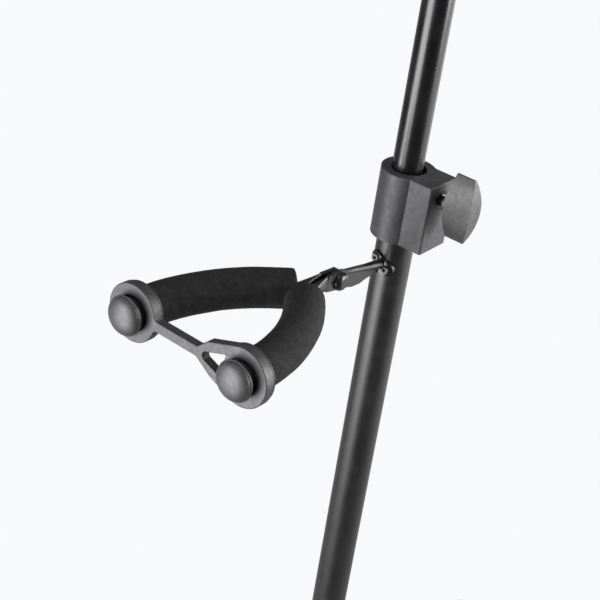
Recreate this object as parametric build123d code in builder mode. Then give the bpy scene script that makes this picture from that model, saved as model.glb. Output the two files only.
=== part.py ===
# Free-standing instrument stand: leaning tube mast with a telescoping extension,
# a padded folding neck rest with a rubber lock strap, a two-arm body cradle and
# a three-legged base whose front legs fold.
# Millimetres, +Z up, front towards -Y, origin on the floor below the middle of the feet.
import os
from math import atan2, cos, degrees, radians, sin, tan

from build123d import *

os.makedirs("parts", exist_ok=True)

# mast and telescoping tubes
lean = 12.0  # degrees the mast leans back
outer_radius = 12.5
outer_bore = 11.5
inner_radius = 10.0
inner_bore = 8.8
inner_offset = -1.3  # the clamp screw pushes the inner tube off centre
tube_foot = 27.5  # distances along the mast start where its axis meets the floor
clamp_top = 640.0
clamp_height = 46.3
tube_top = clamp_top - 23.0
inner_low = clamp_top - 255.0
inner_high = clamp_top + 250.0
plug_length = 14.0
plug_head = 4.0
plug_round = 2.5

# height clamp
collar_radius = 17.8
block_half_width = 14.0
block_face = 27.5
screw_radius = 4.0
screw_hole = 4.05
screw_drop = 11.5  # screw axis below the clamp's top
insert_radius = 6.5
insert_length = 9.0
screw_clearance = 0.4
screw_in_knob = 10.0
pad_length = 2.6
clamp_edge = 0.35
block_corner = 1.2
block_root = 4.0  # hollow between block and collar at the back
knob_gap = 3.5
knob_half_length = 23.0
knob_half_width = 6.2
knob_depth = 16.5
knob_crown = 5.0
knob_edge = 0.9
knob_hub_radius = 5.8
knob_hub_length = 4.0
knob_waist = 6.5

# neck rest, measured from the mast's axis (front) and the clamp's top (down)
hinge_front = 62.2
hinge_height = clamp_top - 58.5
post_front = 197.3  # front face of the strap
post_height = clamp_top - 51.4
post_side = 41.3
yoke_tilt = 1.7  # degrees the arms rise towards the front, beyond square to the mast
rod_radius = 3.0
arm_straight = 8.0
arm_bend = 128.0
arm_turn = 41.2
foam_radius = 12.5
tab_thick = 2.4
tab_half_height = 5.6
tab_side = 2.65  # middle of each arm's flat tab
bracket_thick = 2.4
arm_root_radius = 3.4
lug_radius = 6.2
strap_thick = 5.6
strap_radius = 17.9
strap_hole = 10.6
strap_edge = 0.7
disc_radius = 17.3
disc_thick = 2.6
cap_neck = 9.5
cap_lip = 12.7

# body cradle
cradle_height = 173.0
cradle_collar = 18.5
lug_gap = 14.0
lug_thick = 6.0
cradle_pivot_side = 20.0
cradle_pivot_front = 30.0
cradle_spread = 32.0
cradle_rod = 5.0
cradle_reach = 190.0
cradle_bend = 24.0
cradle_rise = 34.0
cradle_foam = 12.0
pin_radius = 4.0
pin_hole = 4.05

# base
leg_radius = 10.0
leg_bore = 8.5
leg_level = 34.0
plate_thick = 3.0
plate_gap = 0.4
leg_pivot = (32.0, -25.0)
leg_spread = 38.0
leg_length = 300.0
foot_radius = 14.0
rear_leg_start = 27.0
socket_radius = 15.6
socket_top = 108.0

mast = Plane(origin=(0, 0, 0), x_dir=(1, 0, 0), z_dir=(0, sin(radians(lean)), cos(radians(lean))))
front_way = -mast.y_dir


def mast_point(side, front, up):
    return mast.from_local_coords(Vector(side, -front, up))


def level(up, side=0, front=0):
    # square to the mast, looking down on it: x to the side, y to the back
    return Plane(origin=mast_point(side, front, up), x_dir=(1, 0, 0), z_dir=mast.z_dir)


def crossways(side, front, up):
    # facing +X: x up the mast, y to the front
    return Plane(origin=mast_point(side, front, up), x_dir=mast.z_dir, z_dir=(1, 0, 0))


def frontal(front, side, up, tilt=0.0):
    # facing the front: x to the side, y up the mast
    base = Plane(origin=mast_point(side, front, up), x_dir=(1, 0, 0), z_dir=front_way)
    return base.rotated((-tilt, 0, 0))


def finish(piece, name):
    piece.part.label = name
    export_step(piece.part, f"parts/{name}.step")


# ---------------------------------------------------------------- mast tubes
foot_up = clamp_top - 64.8
foot_turn = -34.0  # the two rivets sit on a slant
rivet_spacing = 5.2
rivet_radius = 1.7
rivet_head = 2.6
rivet_seat = 13.6
pad_half_width = 4.6
turned = radians(foot_turn)
rivet_spots = [
    (way_out * rivet_spacing * cos(turned), foot_up + way_out * rivet_spacing * sin(turned))
    for way_out in (-1, 1)
]
with BuildPart() as outer_tube:
    with BuildSketch(level(tube_foot)):
        Circle(outer_radius)
        Circle(outer_bore, mode=Mode.SUBTRACT)
    extrude(amount=tube_top - tube_foot)
    for side, up in rivet_spots:
        with BuildSketch(frontal(0, side, up)):
            Circle(rivet_radius)
        extrude(amount=outer_radius + 2, mode=Mode.SUBTRACT)
finish(outer_tube, "outer_tube")

with BuildPart() as inner_tube:
    with BuildSketch(level(inner_low, side=inner_offset)):
        Circle(inner_radius)
        Circle(inner_bore, mode=Mode.SUBTRACT)
    extrude(amount=inner_high - inner_low)
finish(inner_tube, "inner_tube")

with BuildPart() as inner_tube_cap:
    with BuildSketch(level(inner_high - plug_length, side=inner_offset)):
        Circle(inner_bore)
    extrude(amount=plug_length)
    with BuildSketch(level(inner_high, side=inner_offset)):
        Circle(inner_radius)
    extrude(amount=plug_head)
    fillet(inner_tube_cap.edges().group_by(Axis((0, 0, 0), mast.z_dir))[-1], plug_round)
finish(inner_tube_cap, "inner_tube_cap")


# ---------------------------------------------------------------- screw clamps
def clamp_screw(tip, block_end, up, name):
    # threaded rod from the pad to inside the knob
    with BuildPart() as screw:
        with BuildSketch(crossways(tip, 0, up)):
            Circle(screw_radius)
        extrude(amount=block_end + knob_gap + screw_in_knob - tip)
        chamfer(screw.edges().group_by(Axis.X)[0], 0.8)
    finish(screw, name)


def clamp_insert(start, end, up, name):
    # brass nut pressed into the block
    with BuildPart() as insert:
        with BuildSketch(crossways(start, 0, up)):
            Circle(insert_radius)
            Circle(screw_hole, mode=Mode.SUBTRACT)
        extrude(amount=end - start)
    finish(insert, name)


def clamp_pad(start, end, up, name):
    with BuildPart() as pad:
        with BuildSketch(crossways(start, 0, up)):
            Circle(screw_radius)
        extrude(amount=end - start)
    finish(pad, name)


def wing_knob(block_end, up, name):
    # two wings on a hub: an eye-shaped outline along the screw, crowned outer face
    inner = block_end + knob_gap
    hub_back_face = 2.0
    wing_back = 4.5
    tip_reach = knob_half_length + 1
    bow = (knob_half_length**2 - knob_half_width**2) / (2 * knob_half_width)
    with BuildPart() as knob:
        with BuildSketch(crossways(inner, 0, up)) as eye:
            with Locations((0, -bow)):
                Circle(bow + knob_half_width)
            with Locations((0, bow)):
                Circle(bow + knob_half_width, mode=Mode.INTERSECT)
        extrude(amount=knob_depth + knob_crown + 4)
        fillet(knob.edges().filter_by(Axis.X), knob_edge)
        profile = Plane(origin=mast_point(inner, 0, up), x_dir=(1, 0, 0), z_dir=front_way)
        with BuildSketch(profile):
            with BuildLine():
                back_edge = Polyline(
                    (knob_depth, -tip_reach),
                    (wing_back, -tip_reach),
                    (hub_back_face, -knob_waist),
                    (hub_back_face, knob_waist),
                    (wing_back, tip_reach),
                    (knob_depth, tip_reach),
                )
                ThreePointArc(back_edge @ 1, (knob_depth + knob_crown, 0), back_edge @ 0)
            make_face()
        extrude(amount=20, both=True, mode=Mode.INTERSECT)
        with BuildSketch(crossways(inner, 0, up)):
            Circle(knob_hub_radius)
        extrude(amount=knob_hub_length)
        with BuildSketch(crossways(inner, 0, up)):
            Circle(screw_radius)
        extrude(amount=screw_in_knob, mode=Mode.SUBTRACT)
    finish(knob, name)


screw_up = clamp_top - screw_drop
with BuildPart() as clamp_body:
    with BuildSketch(level(clamp_top - clamp_height)):
        Circle(collar_radius)
        with Locations((block_face / 2, 0)):
            Rectangle(block_face, 2 * block_half_width)
    extrude(amount=clamp_height)
    upright = clamp_body.edges().filter_by(lambda e: e.is_interior and e.length > 40)
    fillet(upright.sort_by(Axis.Y)[-1], block_root)
    outer_corners = clamp_body.edges().filter_by(Axis((0, 0, 0), mast.z_dir)).sort_by(Axis.X)[-2:]
    fillet(outer_corners, block_corner)
    chamfer(clamp_body.faces().sort_by(Axis((0, 0, 0), mast.z_dir))[-1].edges(), clamp_edge)
    with BuildSketch(level(clamp_top - clamp_height)):
        Circle(outer_radius)
    extrude(amount=tube_top - clamp_top + clamp_height, mode=Mode.SUBTRACT)
    with BuildSketch(level(tube_top)):
        Circle(outer_bore)
    extrude(amount=clamp_top - tube_top, mode=Mode.SUBTRACT)
    with BuildSketch(crossways(5, 0, screw_up)):
        Circle(screw_radius + screw_clearance)
    extrude(amount=30, mode=Mode.SUBTRACT)
    with BuildSketch(crossways(block_face - insert_length, 0, screw_up)):
        Circle(insert_radius)
    extrude(amount=insert_length, mode=Mode.SUBTRACT)
finish(clamp_body, "clamp_body")

pad_start = inner_offset + inner_radius + 0.15
clamp_pad(pad_start, pad_start + pad_length, screw_up, "clamp_pad")
clamp_screw(pad_start + pad_length + 0.1, block_face, screw_up, "clamp_screw")
clamp_insert(block_face - insert_length, block_face, screw_up, "clamp_insert")
wing_knob(block_face, screw_up, "clamp_knob")


# ---------------------------------------------------------------- hinge bracket
with BuildPart() as hinge_bracket:
    # foot pad wrapped on the tube
    with BuildSketch(frontal(0, 0, foot_up)):
        SlotCenterToCenter(2 * rivet_spacing, 2 * pad_half_width, rotation=foot_turn)
    extrude(amount=outer_radius + 6)
    with BuildSketch(level(foot_up - 20)):
        Circle(outer_radius + 1.8)
    extrude(amount=40, mode=Mode.INTERSECT)
    # arm: a flat web under a rod that thins towards the hinge
    rod_foot = mast_point(0, outer_radius - 1.0, foot_up - 0.5)
    rod_tip = mast_point(0, hinge_front - 9, hinge_height + 1.4)
    rod_way = (rod_tip - rod_foot).normalized()
    with BuildSketch(Plane(rod_foot, x_dir=(1, 0, 0), z_dir=rod_way)):
        Circle(arm_root_radius)
    with BuildSketch(Plane(rod_tip, x_dir=(1, 0, 0), z_dir=rod_way)):
        Circle(bracket_thick / 2)
    loft()
    with BuildSketch(crossways(-bracket_thick / 2, hinge_front, hinge_height)):
        Circle(lug_radius)
        with BuildLine():
            Polyline(
                (lug_radius, 0),
                (3.0, -10.0),
                (-3.6, -46.0),
                (-10.6, -46.0),
                (-11.2, -33.0),
                (-12.6, -26.0),
                (-12.0, -18.0),
                (-9.0, -8.0),
                (-lug_radius, 0),
                close=True,
            )
        make_face()
    extrude(amount=bracket_thick)
    # nothing of it lies inside the tube's wall
    with BuildSketch(level(foot_up - 30)):
        Circle(outer_radius)
    extrude(amount=60, mode=Mode.SUBTRACT)
    with BuildSketch(crossways(-5, hinge_front, hinge_height)):
        Circle(2.55)
    extrude(amount=10, mode=Mode.SUBTRACT)
    for side, up in rivet_spots:
        with BuildSketch(frontal(0, side, up)):
            Circle(rivet_radius)
        extrude(amount=outer_radius + 8, mode=Mode.SUBTRACT)
        with BuildSketch(frontal(rivet_seat, side, up)):
            Circle(rivet_head + 0.05)
        extrude(amount=8, mode=Mode.SUBTRACT)
finish(hinge_bracket, "hinge_bracket")

# hollow rivets, formed over on the pad
with BuildPart() as bracket_rivets:
    for side, up in rivet_spots:
        with BuildSketch(frontal(outer_bore - 0.55, side, up)):
            Circle(rivet_radius)
        extrude(amount=rivet_seat - outer_bore + 0.55)
        with BuildSketch(frontal(rivet_seat, side, up)):
            Circle(rivet_head)
        extrude(amount=1.3)
        with BuildSketch(frontal(rivet_seat - 1, side, up)):
            Circle(1.1)
        extrude(amount=6, mode=Mode.SUBTRACT)
finish(bracket_rivets, "bracket_rivets")


# ---------------------------------------------------------------- neck rest
yoke = level(post_height, front=post_front).rotated((-yoke_tilt, 0, 0))
turn_back = arm_bend * (1 - cos(radians(arm_turn)))
meet_side = 3.4
back_bend = (post_side - turn_back - meet_side) / (1 - cos(radians(arm_turn)))
disc_start = strap_thick + 0.05
cap_front = 6.0  # how far the cap's lip stands in front of the strap


def post_plane(side, back):
    # square to the arm's end: x to the side, y up, looking to the front
    return Plane(
        origin=yoke.from_local_coords(Vector(side, back, 0)), x_dir=(1, 0, 0), z_dir=-yoke.y_dir
    )


for name, way_out in (("left", -1), ("right", 1)):
    with BuildLine(yoke) as grip_line:
        grip = JernArc((way_out * post_side, arm_straight), (0, 1), arm_bend, way_out * arm_turn)
    with BuildPart() as arm:
        with BuildLine(yoke) as arm_line:
            front_run = Line((way_out * post_side, -cap_front), (way_out * post_side, arm_straight))
            bend = JernArc(front_run @ 1, front_run % 1, arm_bend, way_out * arm_turn)
            JernArc(bend @ 1, bend % 1, back_bend, -way_out * arm_turn)
        with BuildSketch(post_plane(way_out * post_side, -cap_front)):
            Circle(rod_radius)
        sweep(path=arm_line.line)
        # forged flat towards the hinge
        rod_end = arm_line.line.vertices().sort_by_distance(mast_point(0, hinge_front, hinge_height))[0]
        tab_start = mast_point(way_out * tab_side, hinge_front + 13, hinge_height + 1.9)
        with BuildSketch(Plane(Vector(rod_end), x_dir=(1, 0, 0), z_dir=-yoke.y_dir)):
            Ellipse(rod_radius, rod_radius)
        with BuildSketch(Plane(tab_start, x_dir=(1, 0, 0), z_dir=-yoke.y_dir)):
            Ellipse(tab_thick / 2, tab_half_height - 0.1)
        loft()
        tab_low = way_out * tab_side - tab_thick / 2
        with BuildSketch(crossways(tab_low, hinge_front, hinge_height)):
            Circle(6.2)
            with BuildLine():
                Polyline((-6.1, -0.6), (-3.5, 13.2), (7.2, 12.6), (6.1, 0.6), close=True)
            make_face()
            Circle(2.5, mode=Mode.SUBTRACT)
        extrude(amount=tab_thick)
    finish(arm, f"{name}_arm")

    with BuildPart() as foam:
        with BuildSketch(post_plane(way_out * post_side, arm_straight)):
            Circle(foam_radius)
            Circle(rod_radius + 0.02, mode=Mode.SUBTRACT)
        sweep(path=grip_line.line)
    finish(foam, f"{name}_arm_foam")

    with BuildPart() as disc:
        with BuildSketch(post_plane(way_out * post_side, disc_start + disc_thick - 0.25)):
            Circle(disc_radius)
            Circle(rod_radius, mode=Mode.SUBTRACT)
        extrude(amount=disc_thick - 0.25)
        rims = disc.edges().filter_by(GeomType.CIRCLE).sort_by(SortBy.LENGTH)[-2:]
        fillet(rims, 0.8)
    finish(disc, f"{name}_backing_disc")

    # neck that the strap sits on, lip and domed head
    with BuildPart() as cap:
        with BuildSketch(post_plane(way_out * post_side, strap_thick)):
            Circle(cap_neck)
        extrude(amount=strap_thick + cap_front - 1.2)
        with BuildSketch(post_plane(way_out * post_side, -cap_front + 1.6)):
            Circle(cap_lip)
        extrude(amount=1.6)
        with BuildSketch(post_plane(way_out * post_side, -cap_front)):
            Circle(cap_lip - 0.7)
        extrude(amount=6.4)
        fillet(cap.edges().group_by(Axis((0, 0, 0), -yoke.y_dir))[-1], 5.6)
        with BuildSketch(post_plane(way_out * post_side, strap_thick)):
            Circle(rod_radius)
        extrude(amount=strap_thick + cap_front, mode=Mode.SUBTRACT)
    finish(cap, f"{name}_cap")

# rubber lock strap: ring, square bar and keyhole loop, lying in one flat shape
bar_half = 3.15
bar_end = 8.5
upper_shoulder = (15.5, 9.7)
lower_shoulder = (19.5, -10.4)
tangent_angle = radians(104)
on_ring = (
    post_side + strap_radius * cos(tangent_angle),
    strap_radius * sin(tangent_angle),
)
with BuildPart() as strap:
    with BuildSketch(post_plane(0, strap_thick)) as strap_outline:
        with Locations((-post_side, 0), (post_side, 0)):
            Circle(strap_radius)
        with Locations((-8, 0)):
            Rectangle(44, 2 * bar_half)
        with BuildLine():
            Polyline(
                (bar_end, bar_half),
                upper_shoulder,
                on_ring,
                (on_ring[0], -on_ring[1]),
                lower_shoulder,
                (bar_end, -bar_half),
                close=True,
            )
        make_face()
        fillet(strap_outline.vertices().sort_by_distance(upper_shoulder)[0], 1.8)
        fillet(strap_outline.vertices().sort_by_distance(lower_shoulder)[0], 3)
        inner = strap_outline.vertices().filter_by(lambda v: abs(v.X - bar_end) < 0.1)
        fillet(inner, 1.8)
        roots = strap_outline.vertices().filter_by(lambda v: -28 < v.X < -20)
        fillet(roots, 3)
        with Locations((-post_side, 0), (post_side, 0)):
            Circle(strap_hole, mode=Mode.SUBTRACT)
        with BuildLine():
            keyhole_tip = CenterArc((16.2, 0), 3.0, 108, 144)
            Line(keyhole_tip @ 1, (31, -8.6))
            Line((31, -8.6), (31, 8.6))
            Line((31, 8.6), keyhole_tip @ 0)
        make_face(mode=Mode.SUBTRACT)
    extrude(amount=strap_thick)
    strap_front = strap.faces().sort_by(Axis((0, 0, 0), -yoke.y_dir))[-1]
    fillet(strap_front.edges(), strap_edge)
finish(strap, "lock_strap")

# rivet that holds both arms to the bracket
rivet_side = tab_side + tab_thick / 2
with BuildPart() as hinge_rivet:
    with BuildSketch(crossways(-rivet_side, hinge_front, hinge_height)):
        Circle(2.5)
    extrude(amount=2 * rivet_side)
    with BuildSketch(crossways(rivet_side, hinge_front, hinge_height)):
        Circle(6.2)
    extrude(amount=3.8)
    fillet(hinge_rivet.faces().sort_by(Axis.X)[-1].edges(), 3.5)
    with BuildSketch(crossways(-rivet_side - 2.2, hinge_front, hinge_height)):
        Circle(4.6)
    extrude(amount=2.2)
    fillet(hinge_rivet.faces().sort_by(Axis.X)[0].edges(), 1.8)
finish(hinge_rivet, "hinge_rivet")


# ---------------------------------------------------------------- body cradle
cradle_half_height = 20.0
cradle_block_width = 22.0
lug_corner = 10.0
cradle_fit = 0.08  # gap to the mast that it slides on
cradle_bottom = cradle_height - cradle_half_height
pin_spots = [(way_out * cradle_pivot_side, -cradle_pivot_front) for way_out in (-1, 1)]
with BuildPart() as cradle_body:
    with BuildSketch(level(cradle_bottom)):
        Circle(cradle_collar)
        with Locations((block_face / 2, 0)):
            Rectangle(block_face, cradle_block_width)
    extrude(amount=2 * cradle_half_height)
    for lug_bottom in (cradle_height - lug_gap / 2 - lug_thick, cradle_height + lug_gap / 2):
        with BuildSketch(level(lug_bottom)):
            with BuildLine():
                Polyline(
                    (-12, 0),
                    (-cradle_pivot_side - 9, -cradle_pivot_front + 4),
                    (-cradle_pivot_side, -cradle_pivot_front - 10),
                    (cradle_pivot_side, -cradle_pivot_front - 10),
                    (cradle_pivot_side + 9, -cradle_pivot_front + 4),
                    (12, 0),
                    close=True,
                )
            make_face()
            with Locations(*pin_spots):
                Circle(lug_corner)
        extrude(amount=lug_thick)
    with BuildSketch(level(cradle_bottom)):
        Circle(outer_radius + cradle_fit)
    extrude(amount=2 * cradle_half_height, mode=Mode.SUBTRACT)
    with BuildSketch(level(cradle_bottom)):
        with Locations(*pin_spots):
            Circle(pin_radius)
    extrude(amount=2 * cradle_half_height, mode=Mode.SUBTRACT)
    with BuildSketch(crossways(5, 0, cradle_height)):
        Circle(screw_radius + screw_clearance)
    extrude(amount=30, mode=Mode.SUBTRACT)
    with BuildSketch(crossways(block_face - insert_length, 0, cradle_height)):
        Circle(insert_radius)
    extrude(amount=insert_length, mode=Mode.SUBTRACT)
finish(cradle_body, "cradle_body")

cradle_pad_start = outer_radius + 0.15
clamp_pad(cradle_pad_start, cradle_pad_start + pad_length, cradle_height, "cradle_pad")
clamp_screw(cradle_pad_start + pad_length + 0.1, block_face, cradle_height, "cradle_screw")
clamp_insert(block_face - insert_length, block_face, cradle_height, "cradle_insert")
wing_knob(block_face, cradle_height, "cradle_knob")

pin_half = lug_gap / 2 + lug_thick
for name, way_out in (("left", -1), ("right", 1)):
    pivot = mast_point(way_out * cradle_pivot_side, cradle_pivot_front, cradle_height)
    angle = radians(cradle_spread)
    reach_way = front_way * cos(angle) + Vector(way_out, 0, 0) * sin(angle)
    pivot_plane = Plane(origin=pivot, x_dir=reach_way, z_dir=mast.z_dir)
    side_plane = Plane(origin=pivot, x_dir=reach_way, z_dir=reach_way.cross(mast.z_dir))

    with BuildPart() as pin:
        with BuildSketch(pivot_plane.offset(-pin_half)):
            Circle(pin_radius)
        extrude(amount=2 * pin_half)
        with BuildSketch(pivot_plane.offset(pin_half)):
            Circle(7)
        extrude(amount=3)
        fillet(pin.edges().group_by(Axis((0, 0, 0), mast.z_dir))[-1], 1.5)
    finish(pin, f"{name}_cradle_pin")

    with BuildPart() as cradle_arm:
        with BuildSketch(pivot_plane.offset(-lug_gap / 2 + 0.3)):
            Circle(9)
        extrude(amount=lug_gap - 0.6)
        with BuildLine(side_plane) as cradle_line:
            run = Line((6, 0), (cradle_reach, 0))
            elbow = JernArc(run @ 1, run % 1, cradle_bend, 90)
            Line(elbow @ 1, (elbow @ 1) + mast.z_dir * cradle_rise)
        with BuildSketch(Plane(cradle_line.line @ 0, x_dir=mast.z_dir, z_dir=reach_way)):
            Circle(cradle_rod)
        sweep(path=cradle_line.line)
        with BuildSketch(pivot_plane.offset(-lug_gap)):
            Circle(pin_hole)
        extrude(amount=2 * lug_gap, mode=Mode.SUBTRACT)
    finish(cradle_arm, f"{name}_cradle_arm")

    with BuildPart() as cradle_sleeve:
        with BuildLine(side_plane) as sleeve_line:
            sleeve_run = Line((30, 0), (cradle_reach, 0))
            sleeve_elbow = JernArc(sleeve_run @ 1, sleeve_run % 1, cradle_bend, 90)
            Line(sleeve_elbow @ 1, (sleeve_elbow @ 1) + mast.z_dir * (cradle_rise - 8))
        with BuildSketch(Plane(sleeve_line.line @ 0, x_dir=mast.z_dir, z_dir=reach_way)):
            Circle(cradle_foam)
            Circle(cradle_rod + 0.02, mode=Mode.SUBTRACT)
        sweep(path=sleeve_line.line)
    finish(cradle_sleeve, f"{name}_cradle_foam")

    tip_base = side_plane.from_local_coords(
        Vector(cradle_reach + cradle_bend, cradle_bend + cradle_rise - 8, 0)
    )
    tip_plane = Plane(origin=tip_base, x_dir=reach_way, z_dir=mast.z_dir)
    with BuildPart() as tip:
        with BuildSketch(tip_plane.offset(0.1)):
            Circle(9.5)
        extrude(amount=14)
        fillet(tip.edges().group_by(Axis((0, 0, 0), mast.z_dir))[-1], 6)
        with BuildSketch(tip_plane):
            Circle(cradle_rod)
        extrude(amount=8, mode=Mode.SUBTRACT)
    finish(tip, f"{name}_cradle_tip")


# ---------------------------------------------------------------- base
lower_bottom = leg_level - leg_radius - plate_gap - plate_thick
lower_top = lower_bottom + plate_thick
upper_bottom = leg_level + leg_radius + plate_gap
upper_top = upper_bottom + plate_thick
hub_back = 62.0
hub_corner = 16.0
hex_radius = 7.5
bolt_head = 5.3
nut_height = 6.5
pivots = [(-leg_pivot[0], leg_pivot[1]), leg_pivot]
rear_bolts = [(0, 40.0), (0, hub_back)]


def hub_outline(hole):
    # plate with a round corner at each leg
    with BuildSketch() as outline:
        with BuildLine():
            Polyline(
                (-leg_pivot[0] - 15, leg_pivot[1] + 4),
                (-leg_pivot[0], leg_pivot[1] - 16),
                (leg_pivot[0], leg_pivot[1] - 16),
                (leg_pivot[0] + 15, leg_pivot[1] + 4),
                (13, hub_back + 8),
                (-13, hub_back + 8),
                close=True,
            )
        make_face()
        with Locations(*pivots, (0, hub_back)):
            Circle(hub_corner)
        with Locations(*pivots, *rear_bolts):
            Circle(hole, mode=Mode.SUBTRACT)
    return outline.sketch


with BuildPart() as hub_lower_plate:
    with BuildSketch(Plane.XY.offset(lower_bottom)):
        add(hub_outline(pin_radius))
    extrude(amount=plate_thick)
finish(hub_lower_plate, "hub_lower_plate")

socket_screw_radius = 3.0
screw_plane = Plane(origin=mast_point(0, 0, socket_top - 20), x_dir=(1, 0, 0), z_dir=mast.y_dir)
with BuildPart() as hub_upper_plate:
    with BuildSketch(level(30)):
        Circle(socket_radius)
    extrude(amount=socket_top - 30)
    with BuildSketch(Plane.XY):
        Rectangle(100, 100)
    extrude(amount=upper_bottom, mode=Mode.SUBTRACT)
    with BuildSketch(Plane.XY.offset(upper_bottom)):
        add(hub_outline(pin_radius))
    extrude(amount=plate_thick)
    with BuildSketch(level(0)):
        Circle(outer_radius)
    extrude(amount=socket_top + 10, mode=Mode.SUBTRACT)
    with BuildSketch(screw_plane):
        Circle(socket_screw_radius)
    extrude(amount=2 * socket_radius, mode=Mode.SUBTRACT)
finish(hub_upper_plate, "hub_upper_plate")

with BuildPart() as socket_screw:
    with BuildSketch(screw_plane.offset(outer_radius)):
        Circle(socket_screw_radius)
    extrude(amount=socket_radius - outer_radius + 1)
    with BuildSketch(screw_plane.offset(socket_radius)):
        Circle(5.5)
    extrude(amount=5)
    with BuildSketch(screw_plane.offset(socket_radius + 2)):
        RegularPolygon(2.9, 6)
    extrude(amount=4, mode=Mode.SUBTRACT)
finish(socket_screw, "socket_screw")

with BuildPart() as hub_bolts:
    for x, y in pivots + rear_bolts:
        with BuildSketch(Plane((x, y, upper_top))):
            RegularPolygon(hex_radius, 6)
        extrude(amount=bolt_head)
        with BuildSketch(Plane((x, y, lower_bottom - nut_height - 0.5))):
            Circle(pin_radius)
        extrude(amount=upper_top - lower_bottom + nut_height + 0.5)
finish(hub_bolts, "hub_bolts")

with BuildPart() as hub_nuts:
    for x, y in pivots + rear_bolts:
        with BuildSketch(Plane((x, y, lower_bottom - nut_height))):
            RegularPolygon(hex_radius, 6)
            Circle(pin_radius, mode=Mode.SUBTRACT)
        extrude(amount=nut_height)
finish(hub_nuts, "hub_nuts")


def leg_and_foot(name, start, direction, length, bolt_spots, hole):
    # tube with cross holes for its bolts, and a rubber foot round the outer end
    along = Vector(*direction, 0).normalized()
    base = Vector(*start, leg_level)
    with BuildPart() as leg:
        with BuildSketch(Plane(base, x_dir=(0, 0, 1), z_dir=along)):
            Circle(leg_radius)
            Circle(leg_bore, mode=Mode.SUBTRACT)
        extrude(amount=length)
        for spot in bolt_spots:
            with BuildSketch(Plane(Vector(*spot, 0))):
                Circle(hole)
            extrude(amount=100, mode=Mode.SUBTRACT)
    finish(leg, f"{name}_leg")
    middle = base + along * (length - 2)
    with BuildPart() as foot:
        with BuildSketch(Plane((middle.X, middle.Y, 0))):
            Circle(foot_radius)
        extrude(amount=leg_level + leg_radius + 3)
        fillet(foot.edges().group_by(Axis.Z)[-1], 5)
        chamfer(foot.edges().group_by(Axis.Z)[0], 1)
        with BuildSketch(Plane(base, x_dir=(0, 0, 1), z_dir=along)):
            Circle(leg_radius)
        extrude(amount=length, mode=Mode.SUBTRACT)
    finish(foot, f"{name}_foot")


spread = radians(leg_spread)
for name, way_out in (("left", -1), ("right", 1)):
    pivot_spot = (way_out * leg_pivot[0], leg_pivot[1])
    outwards = (way_out * sin(spread), -cos(spread))
    start = (pivot_spot[0] - 12 * outwards[0], pivot_spot[1] - 12 * outwards[1])
    leg_and_foot(name, start, outwards, leg_length + 12, [pivot_spot], pin_hole)

front_reach = leg_pivot[1] - (leg_length - 2) * cos(spread)
leg_and_foot("rear", (0, rear_leg_start), (0, 1), -front_reach - rear_leg_start + 2, rear_bolts, pin_radius)
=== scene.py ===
from math import cos, pi, radians, sin

import bmesh
import bpy
from mathutils import Matrix, Vector, noise


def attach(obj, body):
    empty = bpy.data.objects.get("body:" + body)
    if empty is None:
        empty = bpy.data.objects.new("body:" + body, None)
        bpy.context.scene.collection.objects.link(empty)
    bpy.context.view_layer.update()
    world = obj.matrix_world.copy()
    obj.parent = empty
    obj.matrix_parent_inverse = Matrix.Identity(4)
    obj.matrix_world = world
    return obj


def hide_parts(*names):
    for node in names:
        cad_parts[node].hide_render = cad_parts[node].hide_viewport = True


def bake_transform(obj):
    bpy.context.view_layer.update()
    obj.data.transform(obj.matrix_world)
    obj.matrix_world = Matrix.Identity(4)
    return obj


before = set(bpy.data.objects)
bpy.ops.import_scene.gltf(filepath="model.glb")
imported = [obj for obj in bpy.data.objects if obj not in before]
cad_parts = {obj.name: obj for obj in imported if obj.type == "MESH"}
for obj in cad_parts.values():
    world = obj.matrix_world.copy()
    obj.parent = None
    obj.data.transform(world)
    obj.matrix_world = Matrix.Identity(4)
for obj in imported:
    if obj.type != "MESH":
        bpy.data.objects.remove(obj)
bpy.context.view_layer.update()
print("frame loaded")

mm = 0.001

# the mast leans back, and the neck rest is set a little steeper than square to it
mast = {"lean": 12.0, "clampTop": 640 * mm}
yoke = {"front": 197.3 * mm, "drop": 51.4 * mm, "tilt": 1.7, "side": 41.3 * mm}
clamp = {"face": 27.5 * mm, "screwDrop": 11.5 * mm, "knobGap": 3.5 * mm}
cradle = {"up": 173 * mm}
mastPlace = Matrix.Rotation(-radians(mast["lean"]), 4, "X")
yokePlace = (
    mastPlace
    @ Matrix.Translation((0, -yoke["front"], mast["clampTop"] - yoke["drop"]))
    @ Matrix.Rotation(-radians(yoke["tilt"]), 4, "X")
)

# camera
view = {"place": (0.39968, -0.43930, 1.09871), "turn": (50.124, 0.4456, 40.2764), "lens": 79.72}
cameraData = bpy.data.cameras.new("camera")
cameraData.lens = view["lens"]
cameraData.sensor_width = 36
cameraData.clip_start = 0.01
camera = bpy.data.objects.new("camera", cameraData)
camera.location = view["place"]
camera.rotation_euler = [radians(a) for a in view["turn"]]
bpy.context.scene.collection.objects.link(camera)
bpy.context.scene.camera = camera
bpy.context.scene.view_settings.view_transform = "Standard"


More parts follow.
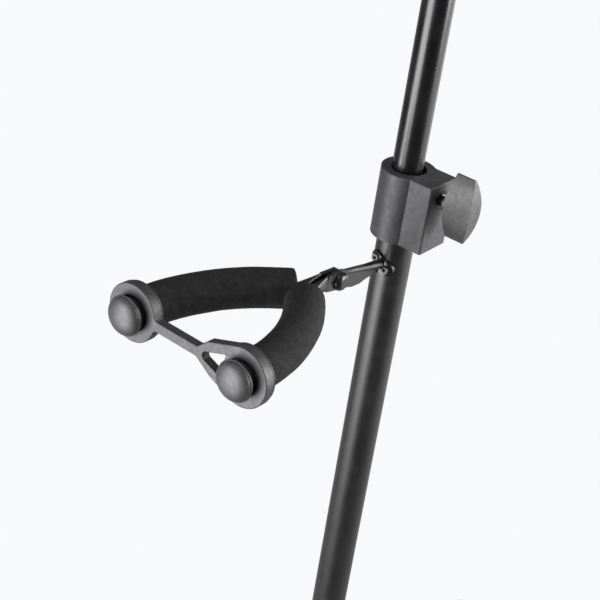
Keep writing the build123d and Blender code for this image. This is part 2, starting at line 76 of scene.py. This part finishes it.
# lights: tall boxes at the left front and the right, a wide one behind, a weak one above
softboxes = {
    "leftBox": {"place": (-0.32, -1.0, 0.62), "aim": (0, 0.1, 0.5), "size": (0.82, 1.25), "power": 36},
    "rightBox": {"place": (1.15, 0.75, 0.75), "aim": (0, 0.1, 0.55), "size": (0.6, 1.2), "power": 32},
    "backBox": {"place": (0.5, 1.6, 0.55), "aim": (0, 0.1, 0.5), "size": (1.3, 1.0), "power": 22},
    "topBox": {"place": (-0.2, -0.2, 2.2), "aim": (0, 0, 0.5), "size": (1.2, 1.2), "power": 6},
}
for name, box in softboxes.items():
    light = bpy.data.lights.new(name, "AREA")
    light.shape = "RECTANGLE"
    light.size, light.size_y = box["size"]
    light.energy = box["power"]
    lamp = bpy.data.objects.new(name, light)
    lamp.location = box["place"]
    aim = Vector(box["aim"]) - Vector(box["place"])
    lamp.rotation_euler = aim.to_track_quat("-Z", "Y").to_euler()
    lamp.visible_camera = False
    bpy.context.scene.collection.objects.link(lamp)

# floor and world: one pale colour to the camera, a darker one to every other ray
paper = {
    "seen": (0.938, 0.947, 0.964), "world": 0.24, "halfSide": 14,
    # front and back: the floor colour's painted shade at the front and painted light at the back
    "front": 0.06, "back": 0.75, "backwards": (-0.3, 0.95, 0), "frontEdge": -0.5, "backEdge": 1.2,
}
floor = bmesh.new()
bmesh.ops.create_grid(floor, x_segments=1, y_segments=1, size=paper["halfSide"])
floorMesh = bpy.data.meshes.new("floor")
floor.to_mesh(floorMesh)
floor.free()
floorObject = bpy.data.objects.new("floor", floorMesh)
bpy.context.scene.collection.objects.link(floorObject)

# painted shade and light: the paper's diffuse colour, seen only in reflections and bounced light, is
# painted dark at the front of the stand and light behind it
floorPaper = bpy.data.materials.new("floorPaper")
floorPaper.use_nodes = True
floorNodes = floorPaper.node_tree.nodes
floorLinks = floorPaper.node_tree.links
floorNodes.clear()
floorOut = floorNodes.new("ShaderNodeOutputMaterial")
floorMix = floorNodes.new("ShaderNodeMixShader")
floorRay = floorNodes.new("ShaderNodeLightPath")
floorGlow = floorNodes.new("ShaderNodeEmission")
floorGlow.inputs["Color"].default_value = (*paper["seen"], 1)
floorMatt = floorNodes.new("ShaderNodeBsdfDiffuse")
floorPlace = floorNodes.new("ShaderNodeTexCoord")
floorAlong = floorNodes.new("ShaderNodeVectorMath")
floorAlong.operation = "DOT_PRODUCT"
floorAlong.inputs[1].default_value = paper["backwards"]
# painted shade and light: the floor colour runs from dark at frontEdge to light at backEdge along
# backwards
floorPaintedShade = floorNodes.new("ShaderNodeMapRange")
floorPaintedShade.inputs["From Min"].default_value = paper["frontEdge"]
floorPaintedShade.inputs["From Max"].default_value = paper["backEdge"]
floorPaintedShade.inputs["To Min"].default_value = paper["front"]
floorPaintedShade.inputs["To Max"].default_value = paper["back"]
floorLinks.new(floorPlace.outputs["Object"], floorAlong.inputs[0])
floorLinks.new(floorAlong.outputs["Value"], floorPaintedShade.inputs["Value"])
floorLinks.new(floorPaintedShade.outputs["Result"], floorMatt.inputs["Color"])
floorLinks.new(floorRay.outputs["Is Camera Ray"], floorMix.inputs["Fac"])
floorLinks.new(floorMatt.outputs["BSDF"], floorMix.inputs[1])
floorLinks.new(floorGlow.outputs["Emission"], floorMix.inputs[2])
floorLinks.new(floorMix.outputs["Shader"], floorOut.inputs["Surface"])
floorObject.data.materials.append(floorPaper)

world = bpy.data.worlds.new("studio")
bpy.context.scene.world = world
world.use_nodes = True
worldNodes = world.node_tree.nodes
worldLinks = world.node_tree.links
sky = worldNodes["Background"]
sky.inputs["Color"].default_value = (*paper["seen"], 1)
skyRay = worldNodes.new("ShaderNodeLightPath")
skyLevel = worldNodes.new("ShaderNodeMapRange")
skyLevel.inputs["To Min"].default_value = paper["world"]
skyLevel.inputs["To Max"].default_value = 1.0
worldLinks.new(skyRay.outputs["Is Camera Ray"], skyLevel.inputs["Value"])
worldLinks.new(skyLevel.outputs["Result"], sky.inputs["Strength"])
print("camera, lights and floor placed")


# materials: every one is a base colour that drifts, a changing roughness and a grain
noiseSpan = {"colour": (0.34, 0.66), "roughness": (0.32, 0.68)}


def objectNoise(material, scale, detail):
    place = material.node_tree.nodes.new("ShaderNodeTexCoord")
    texture = material.node_tree.nodes.new("ShaderNodeTexNoise")
    texture.inputs["Scale"].default_value = scale
    texture.inputs["Detail"].default_value = detail
    material.node_tree.links.new(place.outputs["Object"], texture.inputs["Vector"])
    return texture


def makeFinish(
    name, dark, light, roughness, grains, drift=60, metallic=0.0, specular=0.5, marks=350
):
    # drift and marks are the noise scales of colour and roughness;
    # grains holds (scale, depth in metres, strength) from coarse to fine
    material = bpy.data.materials.new(name)
    material.use_nodes = True
    nodes = material.node_tree.nodes
    links = material.node_tree.links
    shader = nodes["Principled BSDF"]
    shader.inputs["Metallic"].default_value = metallic
    shader.inputs["Specular IOR Level"].default_value = specular
    ramp = nodes.new("ShaderNodeValToRGB")
    for stop, place, colour in zip(ramp.color_ramp.elements, noiseSpan["colour"], (dark, light)):
        stop.position = place
        stop.color = (*colour, 1)
    links.new(objectNoise(material, drift, 3).outputs["Fac"], ramp.inputs["Fac"])
    links.new(ramp.outputs["Color"], shader.inputs["Base Color"])
    spread = nodes.new("ShaderNodeMapRange")
    ends = (*noiseSpan["roughness"], *roughness)
    for socket, value in zip(("From Min", "From Max", "To Min", "To Max"), ends):
        spread.inputs[socket].default_value = value
    links.new(objectNoise(material, marks, 4).outputs["Fac"], spread.inputs["Value"])
    links.new(spread.outputs["Result"], shader.inputs["Roughness"])
    last = None
    for scale, depth, strength in grains:
        bump = nodes.new("ShaderNodeBump")
        bump.inputs["Strength"].default_value = strength
        bump.inputs["Distance"].default_value = depth
        links.new(objectNoise(material, scale, 2).outputs["Fac"], bump.inputs["Height"])
        if last:
            links.new(last.outputs["Normal"], bump.inputs["Normal"])
        last = bump
    links.new(last.outputs["Normal"], shader.inputs["Normal"])
    return material


powderCoat = makeFinish(
    "powderCoat", (0.006, 0.006, 0.007), (0.010, 0.010, 0.011), (0.37, 0.44),
    [(500, 0.000006, 0.06), (1500, 0.000003, 0.04)], marks=120,
)
glossCoat = makeFinish(
    "glossCoat", (0.004, 0.004, 0.005), (0.007, 0.007, 0.008), (0.26, 0.29),
    [(350, 0.000002, 0.02)], marks=60,
)
forgedCoat = makeFinish(
    "forgedCoat", (0.006, 0.006, 0.007), (0.011, 0.011, 0.012), (0.25, 0.33),
    [(420, 0.000004, 0.04), (1300, 0.000002, 0.02)], drift=90, marks=90,
)
clampPlastic = makeFinish(
    "clampPlastic", (0.0205, 0.0205, 0.0240), (0.0340, 0.0340, 0.0385), (0.44, 0.56),
    [(700, 0.00008, 0.4), (2000, 0.00010, 0.7)], drift=300,
)
knobPlastic = makeFinish(
    "knobPlastic", (0.026, 0.026, 0.028), (0.050, 0.050, 0.052), (0.38, 0.52),
    [(900, 0.00008, 0.5), (2400, 0.00008, 0.7)], drift=480,
)
mouldedRubber = makeFinish(
    "mouldedRubber", (0.026, 0.026, 0.029), (0.037, 0.037, 0.040), (0.40, 0.54),
    [(800, 0.00004, 0.35), (2500, 0.00005, 0.55)], drift=80,
)
strapRubber = makeFinish(
    "strapRubber", (0.019, 0.019, 0.0215), (0.027, 0.027, 0.030), (0.42, 0.56),
    [(800, 0.00004, 0.35), (2500, 0.00005, 0.55)], drift=140,
)
closedCellFoam = makeFinish(
    "closedCellFoam", (0.0030, 0.0030, 0.0033), (0.0098, 0.0098, 0.0103), (0.82, 0.96),
    [(160, 0.0006, 0.30), (620, 0.0006, 0.6), (1500, 0.0004, 0.9)], drift=260, specular=0.3,
)
blackenedSteel = makeFinish(
    "blackenedSteel", (0.07, 0.07, 0.075), (0.14, 0.14, 0.145), (0.22, 0.38),
    [(900, 0.00003, 0.3)], drift=300, metallic=1.0,
)
dullBrass = makeFinish(
    "dullBrass", (0.020, 0.015, 0.008), (0.045, 0.034, 0.018), (0.40, 0.55),
    [(900, 0.00003, 0.3)], drift=300, metallic=1.0,
)

nodeLooks = {
    powderCoat: [
        "outer_tube", "hub_lower_plate", "hub_upper_plate", "rear_leg", "left_leg", "right_leg",
        "bracket_rivets",
    ],
    glossCoat: ["inner_tube"],
    forgedCoat: [
        "hinge_bracket", "hinge_rivet", "left_arm", "right_arm",
        "left_cradle_arm", "right_cradle_arm",
    ],
    clampPlastic: ["clamp_body", "cradle_body", "inner_tube_cap"],
    knobPlastic: ["clamp_knob", "cradle_knob", "clamp_pad", "cradle_pad"],
    mouldedRubber: [
        "left_foot", "right_foot", "rear_foot", "left_cradle_tip", "right_cradle_tip",
    ],
    blackenedSteel: [
        "socket_screw", "hub_bolts", "hub_nuts", "left_cradle_pin", "right_cradle_pin",
    ],
    dullBrass: ["clamp_insert", "cradle_insert"],
}
for look, names in nodeLooks.items():
    for name in names:
        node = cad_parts[name]
        node.data.materials.clear()
        node.data.materials.append(look)
print("materials made")


def asPiece(name, work, place, look, replaced, sharp=35):
    # the finished bmesh becomes an object at the origin, with its place in its mesh
    bmesh.ops.remove_doubles(work, verts=work.verts, dist=0.00001)
    bmesh.ops.transform(work, matrix=place, verts=work.verts)
    bmesh.ops.recalc_face_normals(work, faces=work.faces)
    mesh = bpy.data.meshes.new(name)
    work.to_mesh(mesh)
    work.free()
    mesh.shade_smooth()
    mesh.set_sharp_from_angle(angle=radians(sharp))
    mesh.materials.append(look)
    piece = bpy.data.objects.new(name, mesh)
    bpy.context.scene.collection.objects.link(piece)
    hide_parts(*replaced)
    return piece


def addProfile(work, points):
    # an open line of (radius, distance) points in the XY plane, ready to spin about Y
    verts = [work.verts.new((r, d, 0)) for r, d in points]
    edges = [work.edges.new(pair) for pair in zip(verts, verts[1:])]
    return verts + edges


def turnAboutY(work, geom, steps):
    bmesh.ops.spin(
        work, geom=geom, cent=(0, 0, 0), axis=(0, 1, 0), angle=2 * pi, steps=steps, use_merge=True
    )


# foam sleeves on the neck rest: cut tube pushed over the bent rod
grip = {
    "radius": 12.4 * mm, "rod": 3.2 * mm, "start": 8.3 * mm, "straight": 8 * mm,
    "bend": 128 * mm, "turn": 41.2, "rim": 0.3 * mm, "aroundSteps": 96, "alongSteps": 84,
}
# the left sleeve is longer, and the end of the right one is pushed against its side
sleeves = {
    "left": {"side": -1, "extra": 7.5 * mm, "backBend": 160 * mm, "extraSteps": 8},
    "right": {"side": 1, "extra": 0.0},
}
# cut end: edge land, hole for the rod and how far it can be seen into
cutEnd = {"land": 0.8 * mm, "holeEdge": 0.2 * mm, "holeDeep": 2.5 * mm}
# slow swells and small open pores, each with its height and noise scale
skin = {"swell": 0.28 * mm, "swellScale": 55, "pore": 0.07 * mm, "poreScale": 620}


def edgesOf(geom):
    return [g for g in geom if isinstance(g, bmesh.types.BMEdge)]


def vertsOf(geom):
    return [g for g in geom if isinstance(g, bmesh.types.BMVert)]


def foamEnd(work, loop, rodRadius):
    # flat cut face with a hole where the rod goes in
    face = bmesh.ops.edgenet_fill(work, edges=loop)["faces"][0]
    middle = face.calc_center_median()
    bmesh.ops.inset_region(
        work, faces=[face], thickness=cutEnd["land"], depth=0, use_even_offset=True
    )
    reach = (face.verts[0].co - middle).length
    bmesh.ops.inset_region(
        work, faces=[face], thickness=reach - rodRadius, depth=0, use_even_offset=True
    )
    bmesh.ops.inset_region(
        work, faces=[face], thickness=cutEnd["holeEdge"], depth=-cutEnd["holeDeep"], use_even_offset=True
    )


def roughen(work, seed):
    shift = Vector((seed, 2 * seed, 3 * seed))
    work.normal_update()
    for vert in work.verts:
        swell = noise.noise(vert.co * skin["swellScale"] + shift) * skin["swell"]
        pore = noise.noise(vert.co * skin["poreScale"] + shift) * skin["pore"]
        vert.co += vert.normal * (swell + pore)


facingY = Matrix.Rotation(pi / 2, 4, "X")
for name, sleeve in sleeves.items():
    side = sleeve["side"]
    work = bmesh.new()
    bmesh.ops.create_circle(
        work, segments=grip["aroundSteps"], radius=grip["radius"],
        matrix=Matrix.Translation((side * yoke["side"], grip["start"], 0)) @ facingY,
    )
    firstLoop = list(work.edges)
    centre = Vector((side * (yoke["side"] - grip["bend"]), grip["straight"], 0))
    swept = bmesh.ops.spin(
        work, geom=list(work.verts) + list(work.edges), cent=centre, axis=(0, 0, side),
        angle=radians(grip["turn"]), steps=grip["alongSteps"],
    )
    lastGeom = swept["geom_last"]
    if sleeve["extra"]:
        lastMiddle = sum((v.co for v in vertsOf(lastGeom)), Vector()) / grip["aroundSteps"]
        outwards = (lastMiddle - centre).normalized()
        swept = bmesh.ops.spin(
            work, geom=lastGeom, cent=lastMiddle + outwards * sleeve["backBend"], axis=(0, 0, -side),
            angle=sleeve["extra"] / sleeve["backBend"], steps=sleeve["extraSteps"],
        )
        lastGeom = swept["geom_last"]
    lastLoop = edgesOf(lastGeom)
    for loop in (firstLoop, lastLoop):
        foamEnd(work, loop, grip["rod"])
    bmesh.ops.recalc_face_normals(work, faces=work.faces)
    roughen(work, seed=4.1 * side)
    rim = [e for e in work.edges if e in firstLoop or e in lastLoop]
    bmesh.ops.bevel(
        work, geom=rim, affect="EDGES", offset=grip["rim"], segments=2, profile=0.5, material=-1
    )
    piece = asPiece(
        name + "GripFoam", work, yokePlace, closedCellFoam, [name + "_arm_foam"], 60
    )
    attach(piece, "neck_rest")
print("grip foam made")


# caps: neck, thin lip and a shallow dome
cap = {
    "neck": 9.5 * mm, "lip": 12.2 * mm, "dome": 11.7 * mm, "height": 5.2 * mm, "front": -5.5 * mm,
    "back": 5.6 * mm, "lipThick": 1.5 * mm, "socket": 3.1 * mm, "socketDeep": 3 * mm,
    "neckFillet": 0.5 * mm, "lipEdge": 0.35 * mm, "foot": 0.15 * mm, "step": 0.25 * mm,
    "steps": 96, "arcSteps": 18,
    # front rim of the lip, as distances inwards and backwards from its corner
    "rim": [(0, 0.45 * mm), (0.15 * mm, 0.15 * mm), (0.4 * mm, 0)],
}
lipBack = cap["front"] + cap["lipThick"]
domeAngles = [pi / 2 * k / cap["arcSteps"] for k in range(cap["arcSteps"] + 1)]
capLine = [
    (0, cap["back"] - cap["socketDeep"]),
    (cap["socket"], cap["back"] - cap["socketDeep"]),
    (cap["socket"], cap["back"]),
    (cap["neck"], cap["back"]),
    (cap["neck"], lipBack + cap["neckFillet"]),
    (cap["neck"] + cap["neckFillet"], lipBack),
    (cap["lip"] - cap["lipEdge"], lipBack),
    (cap["lip"], lipBack - cap["lipEdge"]),
    *[(cap["lip"] - inwards, cap["front"] + backwards) for inwards, backwards in cap["rim"]],
    (cap["dome"] - cap["foot"], cap["front"]),
    *[
        (cap["dome"] * cos(a), cap["front"] - cap["step"] - cap["height"] * sin(a))
        for a in domeAngles
    ],
]
for name, side in (("left", -1), ("right", 1)):
    work = bmesh.new()
    turnAboutY(work, addProfile(work, capLine), cap["steps"])
    place = yokePlace @ Matrix.Translation((side * yoke["side"], 0, 0))
    piece = asPiece(name + "Cap", work, place, mouldedRubber, [name + "_cap"], 30)
    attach(piece, "neck_rest")
print("caps made")

# backing discs between the strap and the foam, with a groove round the rim
disc = {
    "radius": 17.3 * mm, "front": 5.68 * mm, "back": 8.2 * mm, "hole": 3.2 * mm, "edge": 0.45 * mm,
    "groove": 0.3 * mm, "steps": 128,
}
discMiddle = (disc["front"] + disc["back"]) / 2
discLine = [
    (disc["hole"], disc["front"]),
    (disc["radius"] - disc["edge"], disc["front"]),
    (disc["radius"], disc["front"] + disc["edge"]),
    (disc["radius"], discMiddle - disc["groove"]),
    (disc["radius"] - disc["groove"], discMiddle),
    (disc["radius"], discMiddle + disc["groove"]),
    (disc["radius"], disc["back"] - disc["edge"]),
    (disc["radius"] - disc["edge"], disc["back"]),
    (disc["hole"], disc["back"]),
    (disc["hole"], disc["front"]),
]
for name, side in (("left", -1), ("right", 1)):
    work = bmesh.new()
    turnAboutY(work, addProfile(work, discLine), disc["steps"])
    place = yokePlace @ Matrix.Translation((side * yoke["side"], 0, 0))
    piece = asPiece(
        name + "Disc", work, place, mouldedRubber, [name + "_backing_disc"], 30
    )
    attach(piece, "neck_rest")
print("backing discs made")


# lock strap: the moulded outline, cut across the bar in even steps
strap = {"bendStart": -23.5 * mm, "bendEnd": -5 * mm, "cuts": 24, "middle": 2.8 * mm}
work = bmesh.new()
work.from_mesh(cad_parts["lock_strap"].data)
bmesh.ops.remove_doubles(work, verts=work.verts, dist=0.000001)
for k in range(strap["cuts"] + 1):
    along = strap["bendStart"] + (strap["bendEnd"] - strap["bendStart"]) * k / strap["cuts"]
    bmesh.ops.bisect_plane(
        work, geom=list(work.verts) + list(work.edges) + list(work.faces), dist=0.000001,
        plane_co=(along, 0, 0), plane_no=(1, 0, 0),
    )
lockStrap = asPiece(
    "lockStrap", work, Matrix.Identity(4), strapRubber, ["lock_strap"], 40
)
evenNormals = lockStrap.modifiers.new("evenNormals", "WEIGHTED_NORMAL")
evenNormals.keep_sharp = True
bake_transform(lockStrap)
print("lock strap made")


# threaded rods of the two clamps
facingX = Matrix.Rotation(pi / 2, 4, "Y")
thread = {
    "core": 3.4 * mm, "crest": 3.95 * mm, "root": 3.2 * mm, "pitch": 1.25 * mm, "steps": 20,
    "coreSides": 40, "intoKnob": 9.5 * mm, "lead": 0.3 * mm, "plain": 2 * mm,
}
# one ridge, as (share of the pitch, radius)
ridge = [
    (0, "root"), (0.08, "core"), (0.42, "crest"), (0.56, "crest"), (0.9, "core"), (0.98, "root"),
]
rods = {
    "clamp": {"up": mast["clampTop"] - clamp["screwDrop"], "tip": 11.6 * mm, "body": "clamp_knob"},
    "cradle": {"up": cradle["up"], "tip": 15.5 * mm, "body": "cradle_knob"},
}
for name, rod in rods.items():
    end = clamp["face"] + clamp["knobGap"] + thread["intoKnob"]
    length = end - rod["tip"]
    lying = Matrix.Translation((rod["tip"] + length / 2, 0, 0)) @ facingX
    work = bmesh.new()
    bmesh.ops.create_cone(
        work, segments=thread["coreSides"], radius1=thread["core"], radius2=thread["core"],
        depth=length, cap_ends=True, matrix=lying,
    )
    pitch = thread["pitch"]
    first = rod["tip"] + thread["lead"]
    verts = [work.verts.new((first + share * pitch, 0, thread[height])) for share, height in ridge]
    edges = [work.edges.new(pair) for pair in zip(verts, verts[1:] + verts[:1])]
    turns = int((length - thread["plain"]) / pitch)
    wound = bmesh.ops.spin(
        work, geom=verts + edges, cent=(0, 0, 0), axis=(1, 0, 0), angle=2 * pi * turns,
        steps=turns * thread["steps"], dvec=(pitch / thread["steps"], 0, 0),
    )
    for loop in (edges, edgesOf(wound["geom_last"])):
        bmesh.ops.edgenet_fill(work, edges=loop)
    place = mastPlace @ Matrix.Translation((0, 0, rod["up"]))
    piece = asPiece(
        name + "Thread", work, place, blackenedSteel, [name + "_screw"], 30
    )
    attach(piece, rod["body"])
print("threaded rods made")


# foam on the cradle arms: straight run, elbow and upright
cradleArm = {
    "pivotSide": 20 * mm, "pivotFront": 30 * mm, "spread": 32.0, "start": 30.4 * mm,
    "reach": 190 * mm, "bend": 24 * mm, "rise": 25.6 * mm, "foam": 11.9 * mm, "rod": 5.2 * mm,
    "aroundSteps": 72, "runSteps": 40, "bendSteps": 24,
}
runStep = (cradleArm["reach"] - cradleArm["start"]) / cradleArm["runSteps"]


def pushLoop(work, loop, step):
    # the loop's edges are extruded, and the new loop moves on by one step
    grown = bmesh.ops.extrude_edge_only(work, edges=loop)["geom"]
    newVerts = set(vertsOf(grown))
    bmesh.ops.translate(work, vec=step, verts=list(newVerts))
    return [e for e in edgesOf(grown) if newVerts.issuperset(e.verts)]


for name, side in (("left", -1), ("right", 1)):
    # X along the arm, Z up the mast
    place = (
        mastPlace
        @ Matrix.Translation((side * cradleArm["pivotSide"], -cradleArm["pivotFront"], cradle["up"]))
        @ Matrix.Rotation(-pi / 2 + side * radians(cradleArm["spread"]), 4, "Z")
    )
    work = bmesh.new()
    bmesh.ops.create_circle(
        work, segments=cradleArm["aroundSteps"], radius=cradleArm["foam"],
        matrix=Matrix.Translation((cradleArm["start"], 0, 0)) @ facingX,
    )
    firstLoop = list(work.edges)
    lastLoop = firstLoop
    for k in range(cradleArm["runSteps"]):
        lastLoop = pushLoop(work, lastLoop, (runStep, 0, 0))
    elbowVerts = list(dict.fromkeys(v for e in lastLoop for v in e.verts))
    elbow = bmesh.ops.spin(
        work, geom=elbowVerts + lastLoop, cent=(cradleArm["reach"], 0, cradleArm["bend"]),
        axis=(0, -1, 0), angle=pi / 2, steps=cradleArm["bendSteps"],
    )
    lastLoop = pushLoop(work, edgesOf(elbow["geom_last"]), (0, 0, cradleArm["rise"]))
    for loop in (firstLoop, lastLoop):
        foamEnd(work, loop, cradleArm["rod"])
    bmesh.ops.recalc_face_normals(work, faces=work.faces)
    roughen(work, seed=7.3 * side)
    piece = asPiece(
        name + "CradleSleeve", work, place, closedCellFoam, [name + "_cradle_foam"], 60
    )
    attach(piece, name + "_cradle_arm")
print("cradle foam made")
